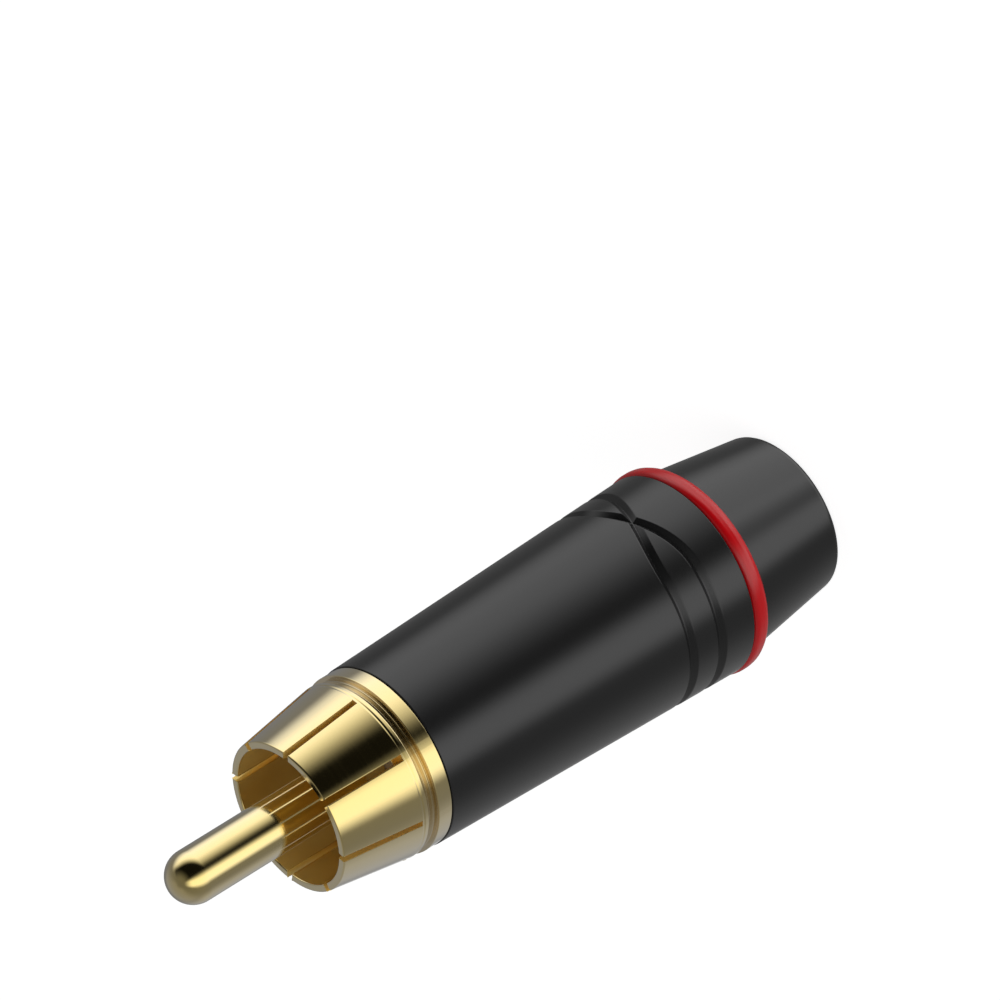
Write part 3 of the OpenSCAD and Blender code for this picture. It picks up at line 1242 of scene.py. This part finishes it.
@dataclass
class Studio:
    """The camera, the pale floor and the light.

    The light comes from far panels, drawn in the world's shader by direction. That keeps each
    reflection straight along the plug, as a long softbox does.
    """

    # The camera's place: bearing as seen from above, elevation, and turn about its line of sight
    bearing: float = -41.1
    elevation: float = 30.744
    roll: float = -121.039
    distance: float = 405.352
    aim_right: float = 17.793
    aim_up: float = 21.059
    lens: float = 270.0
    sensor: float = 36.0
    strip: Panel = Panel(-31, 18.5, 22, -80, 57, 20, 36, 0.98)
    key: Panel = Panel(60, 46, 34, -80, 36, 20, 26, 1.12)
    # The key softbox hangs at a slant: this is the normal of its near edge
    key_edge: tuple[float, float, float] = (-0.2633, 0.7063, 0.6573)
    key_soft: tuple[float, float] = (0.37, -0.22)
    card: Panel = Panel(50, 52, 16, -46, 56, 14, 40, 0.97)
    fill: Panel = Panel(-126, 30, 40, -42, 5, 24, 40, 0.17)
    # The wall behind the table, on the left
    wall: Panel = Panel(-160, 60, 50, 15, 75, 20, 20, 0.09)
    # The near edge of the table, low down between the strip and the key
    sill: Panel = Panel(6, 24, 20, -80, -41, 20, 12, 0.42)
    # The part of the white backdrop that shows in the metal, behind and below the plug
    backdrop: Panel = Panel(-172, 9, 14, -60, -18, 16, 16, 0.5)
    # The plain light from overhead and from all round, and the elevations it changes between
    zenith: float = 0.15
    horizon: float = 0.18
    ambient_span: tuple[float, float] = (0.1, 1.4)
    floor_r: float = 900.0
    floor_sides: int = 96
    floor_gap: float = 0.02
    floor_glow: float = 0.86
    floor_grey: str = "#e8e8e8"

    def axes(self, bearing: float) -> tuple[Vector, Vector]:
        """Gives the level directions to the side of a bearing from the camera's, and towards it."""
        turned = Matrix.Rotation(math.radians(self.bearing + bearing), 3, "Z")
        return turned @ Vector((1.0, 0.0, 0.0)), turned @ Vector((0.0, -1.0, 0.0))

    def build(self, tip_z: float) -> None:
        """Sets up the view, the light and the floor.

        Args:
            tip_z: Height of the pin's tip, which the camera is placed by.
        """
        scene = bpy.context.scene
        scene.view_settings.view_transform = "Standard"
        self.camera(scene, tip_z)
        self.light(scene)
        self.floor(scene)

    def camera(self, scene: Scene, tip_z: float) -> None:
        """Places the camera at the photograph's view.

        Args:
            scene: The scene.
            tip_z: Height of the pin's tip.
        """
        data = bpy.data.cameras.new("view")
        data.lens = self.lens
        data.sensor_width = self.sensor
        eye = bpy.data.objects.new("view", data)
        towards = self.axes(0)[1]
        rise = math.radians(self.elevation)
        back = towards * math.cos(rise) + Vector(AXIS) * math.sin(rise)
        spin = Quaternion(AXIS, math.radians(self.roll))
        facing = (-back).to_track_quat("-Z", "Y") @ spin
        offset = facing @ Vector((self.aim_right, self.aim_up, self.distance))
        eye.rotation_mode = "QUATERNION"
        eye.rotation_quaternion = facing
        eye.location = (Vector((0.0, 0.0, tip_z)) + offset) * MM
        scene.collection.objects.link(eye)
        scene.camera = eye

    def light(self, scene: Scene) -> None:
        """Draws the studio's panels in the world, with a white backdrop for the camera.

        Args:
            scene: The scene.
        """
        world = bpy.data.worlds.new("studio")
        scene.world = world
        world.use_nodes = True
        tree = world.node_tree
        tree.nodes.clear()
        way = add_node(tree, "TexCoord").outputs["Generated"]
        height = add_node(tree, "SeparateXYZ", {"Vector": way}).outputs["Z"]
        lift = add_node(tree, "Math", {0: height}, operation="ARCSINE").outputs[0]
        low, high = self.ambient_span
        span = {"Value": lift, "From Min": low, "From Max": high}
        levels = {"To Min": self.horizon, "To Max": self.zenith}
        ambient = add_node(tree, "MapRange", span | levels).outputs[0]
        side, towards = self.axes(0)
        edge = side * self.key_edge[0] + towards * self.key_edge[1]
        edge.z = self.key_edge[2]
        across = add_node(tree, "VectorMath", {0: way, 1: edge}, operation="DOT_PRODUCT")
        start, end = self.key_soft
        span = {"Value": across.outputs["Value"], "From Min": start, "From Max": end}
        near_edge = add_node(tree, "MapRange", span, interpolation_type="SMOOTHSTEP").outputs[0]
        shade = self.panel(tree, self.card, way, lift, ambient)
        total = add_node(tree, "Math", {0: ambient, 1: shade}, operation="SUBTRACT").outputs[0]
        lit = [self.panel(tree, self.key, way, lift, near_edge)]
        for plain in (self.strip, self.fill, self.wall, self.sill):
            lit.append(self.panel(tree, plain, way, lift))
        for light in lit:
            total = add_node(tree, "Math", {0: total, 1: light}, operation="ADD").outputs[0]
        studio = add_node(tree, "Background", {"Color": linear(WHITE), "Strength": total})
        white = add_node(tree, "Background", {"Color": linear(WHITE), "Strength": 1.0})
        path = add_node(tree, "LightPath").outputs
        rays = {0: path["Is Glossy Ray"], 1: path["Is Transmission Ray"]}
        mirrored = add_node(tree, "Math", rays, operation="MAXIMUM").outputs[0]
        behind = self.panel(tree, self.backdrop, way, lift, mirrored)
        seen = add_node(tree, "Math", {0: path["Is Camera Ray"], 1: behind}, operation="MAXIMUM")
        shown = add_node(
            tree, "MixShader", {0: seen.outputs[0], 1: studio.outputs[0], 2: white.outputs[0]}
        )
        add_node(tree, "OutputWorld", {"Surface": shown.outputs[0]})

    def panel(
        self,
        tree: NodeTree,
        panel: Panel,
        way: NodeSocket,
        lift: NodeSocket,
        share: NodeSocket | float = 1.0,
    ) -> NodeSocket:
        """Draws one panel.

        Args:
            tree: The world's node tree.
            panel: The panel.
            way: The direction that is looked in.
            lift: The direction's elevation in radians.
            share: What its light is multiplied by.

        Returns:
            The panel's light in that direction.
        """
        side, towards = (
            add_node(tree, "VectorMath", {0: way, 1: axis}, operation="DOT_PRODUCT").outputs[1]
            for axis in self.axes(panel.bearing)
        )
        swing = add_node(tree, "Math", {0: side, 1: towards}, operation="ARCTAN2").outputs[0]
        off = add_node(tree, "Math", {0: swing}, operation="ABSOLUTE").outputs[0]
        edges = [
            (off, panel.half_w + panel.soft_w / 2, panel.half_w - panel.soft_w / 2),
            (lift, panel.low - panel.soft_low / 2, panel.low + panel.soft_low / 2),
            (lift, panel.high + panel.soft_high / 2, panel.high - panel.soft_high / 2),
        ]
        total = add_node(tree, "Math", {0: share, 1: panel.strength}, operation="MULTIPLY")
        for value, start, end in edges:
            span = {"Value": value, "From Min": math.radians(start), "From Max": math.radians(end)}
            step = add_node(tree, "MapRange", span, interpolation_type="SMOOTHSTEP")
            factors = {0: total.outputs[0], 1: step.outputs[0]}
            total = add_node(tree, "Math", factors, operation="MULTIPLY")
        return total.outputs[0]

    def floor(self, scene: Scene) -> None:
        """Lays the pale floor, a hair below the plug, so that its tail shows from underneath.

        Only the camera sees the floor, with the plug's shadow on it, and only from above.

        Args:
            scene: The scene.
        """
        bm = bmesh.new()
        sunk = Matrix.Translation((0.0, 0.0, -self.floor_gap * MM))
        bmesh.ops.create_circle(
            bm, cap_ends=True, segments=self.floor_sides, radius=self.floor_r * MM, matrix=sunk
        )
        mesh = bpy.data.meshes.new("floor")
        bm.to_mesh(mesh)
        bm.free()
        paper = bpy.data.materials.new("white_paper_floor")
        paper.use_nodes = True
        tree = paper.node_tree
        tree.nodes.clear()
        matt = add_node(tree, "BsdfDiffuse", {"Color": linear(self.floor_grey)})
        glow = add_node(tree, "Emission", {"Strength": self.floor_glow})
        both = add_node(tree, "AddShader", {0: matt.outputs[0], 1: glow.outputs[0]})
        below = add_node(tree, "NewGeometry").outputs["Backfacing"]
        clear = add_node(tree, "BsdfTransparent")
        sides = add_node(tree, "MixShader", {0: below, 1: both.outputs[0], 2: clear.outputs[0]})
        add_node(tree, "OutputMaterial", {"Surface": sides.outputs[0]})
        mesh.materials.append(paper)
        floor = bpy.data.objects.new("floor", mesh)
        for ray in ("diffuse", "glossy", "transmission", "shadow"):
            setattr(floor, "visible_" + ray, False)
        scene.collection.objects.link(floor)


def main() -> None:
    """Builds the studio and the plug's sub-assemblies in order."""
    logging.basicConfig(level=logging.INFO, stream=sys.stdout, format="%(name)s: %(message)s")
    contacts = Contacts()
    Studio().build(contacts.tip_z)
    contacts.build()
    Shell().build()
    BackNut().build()


if __name__ == "__main__":
    main()
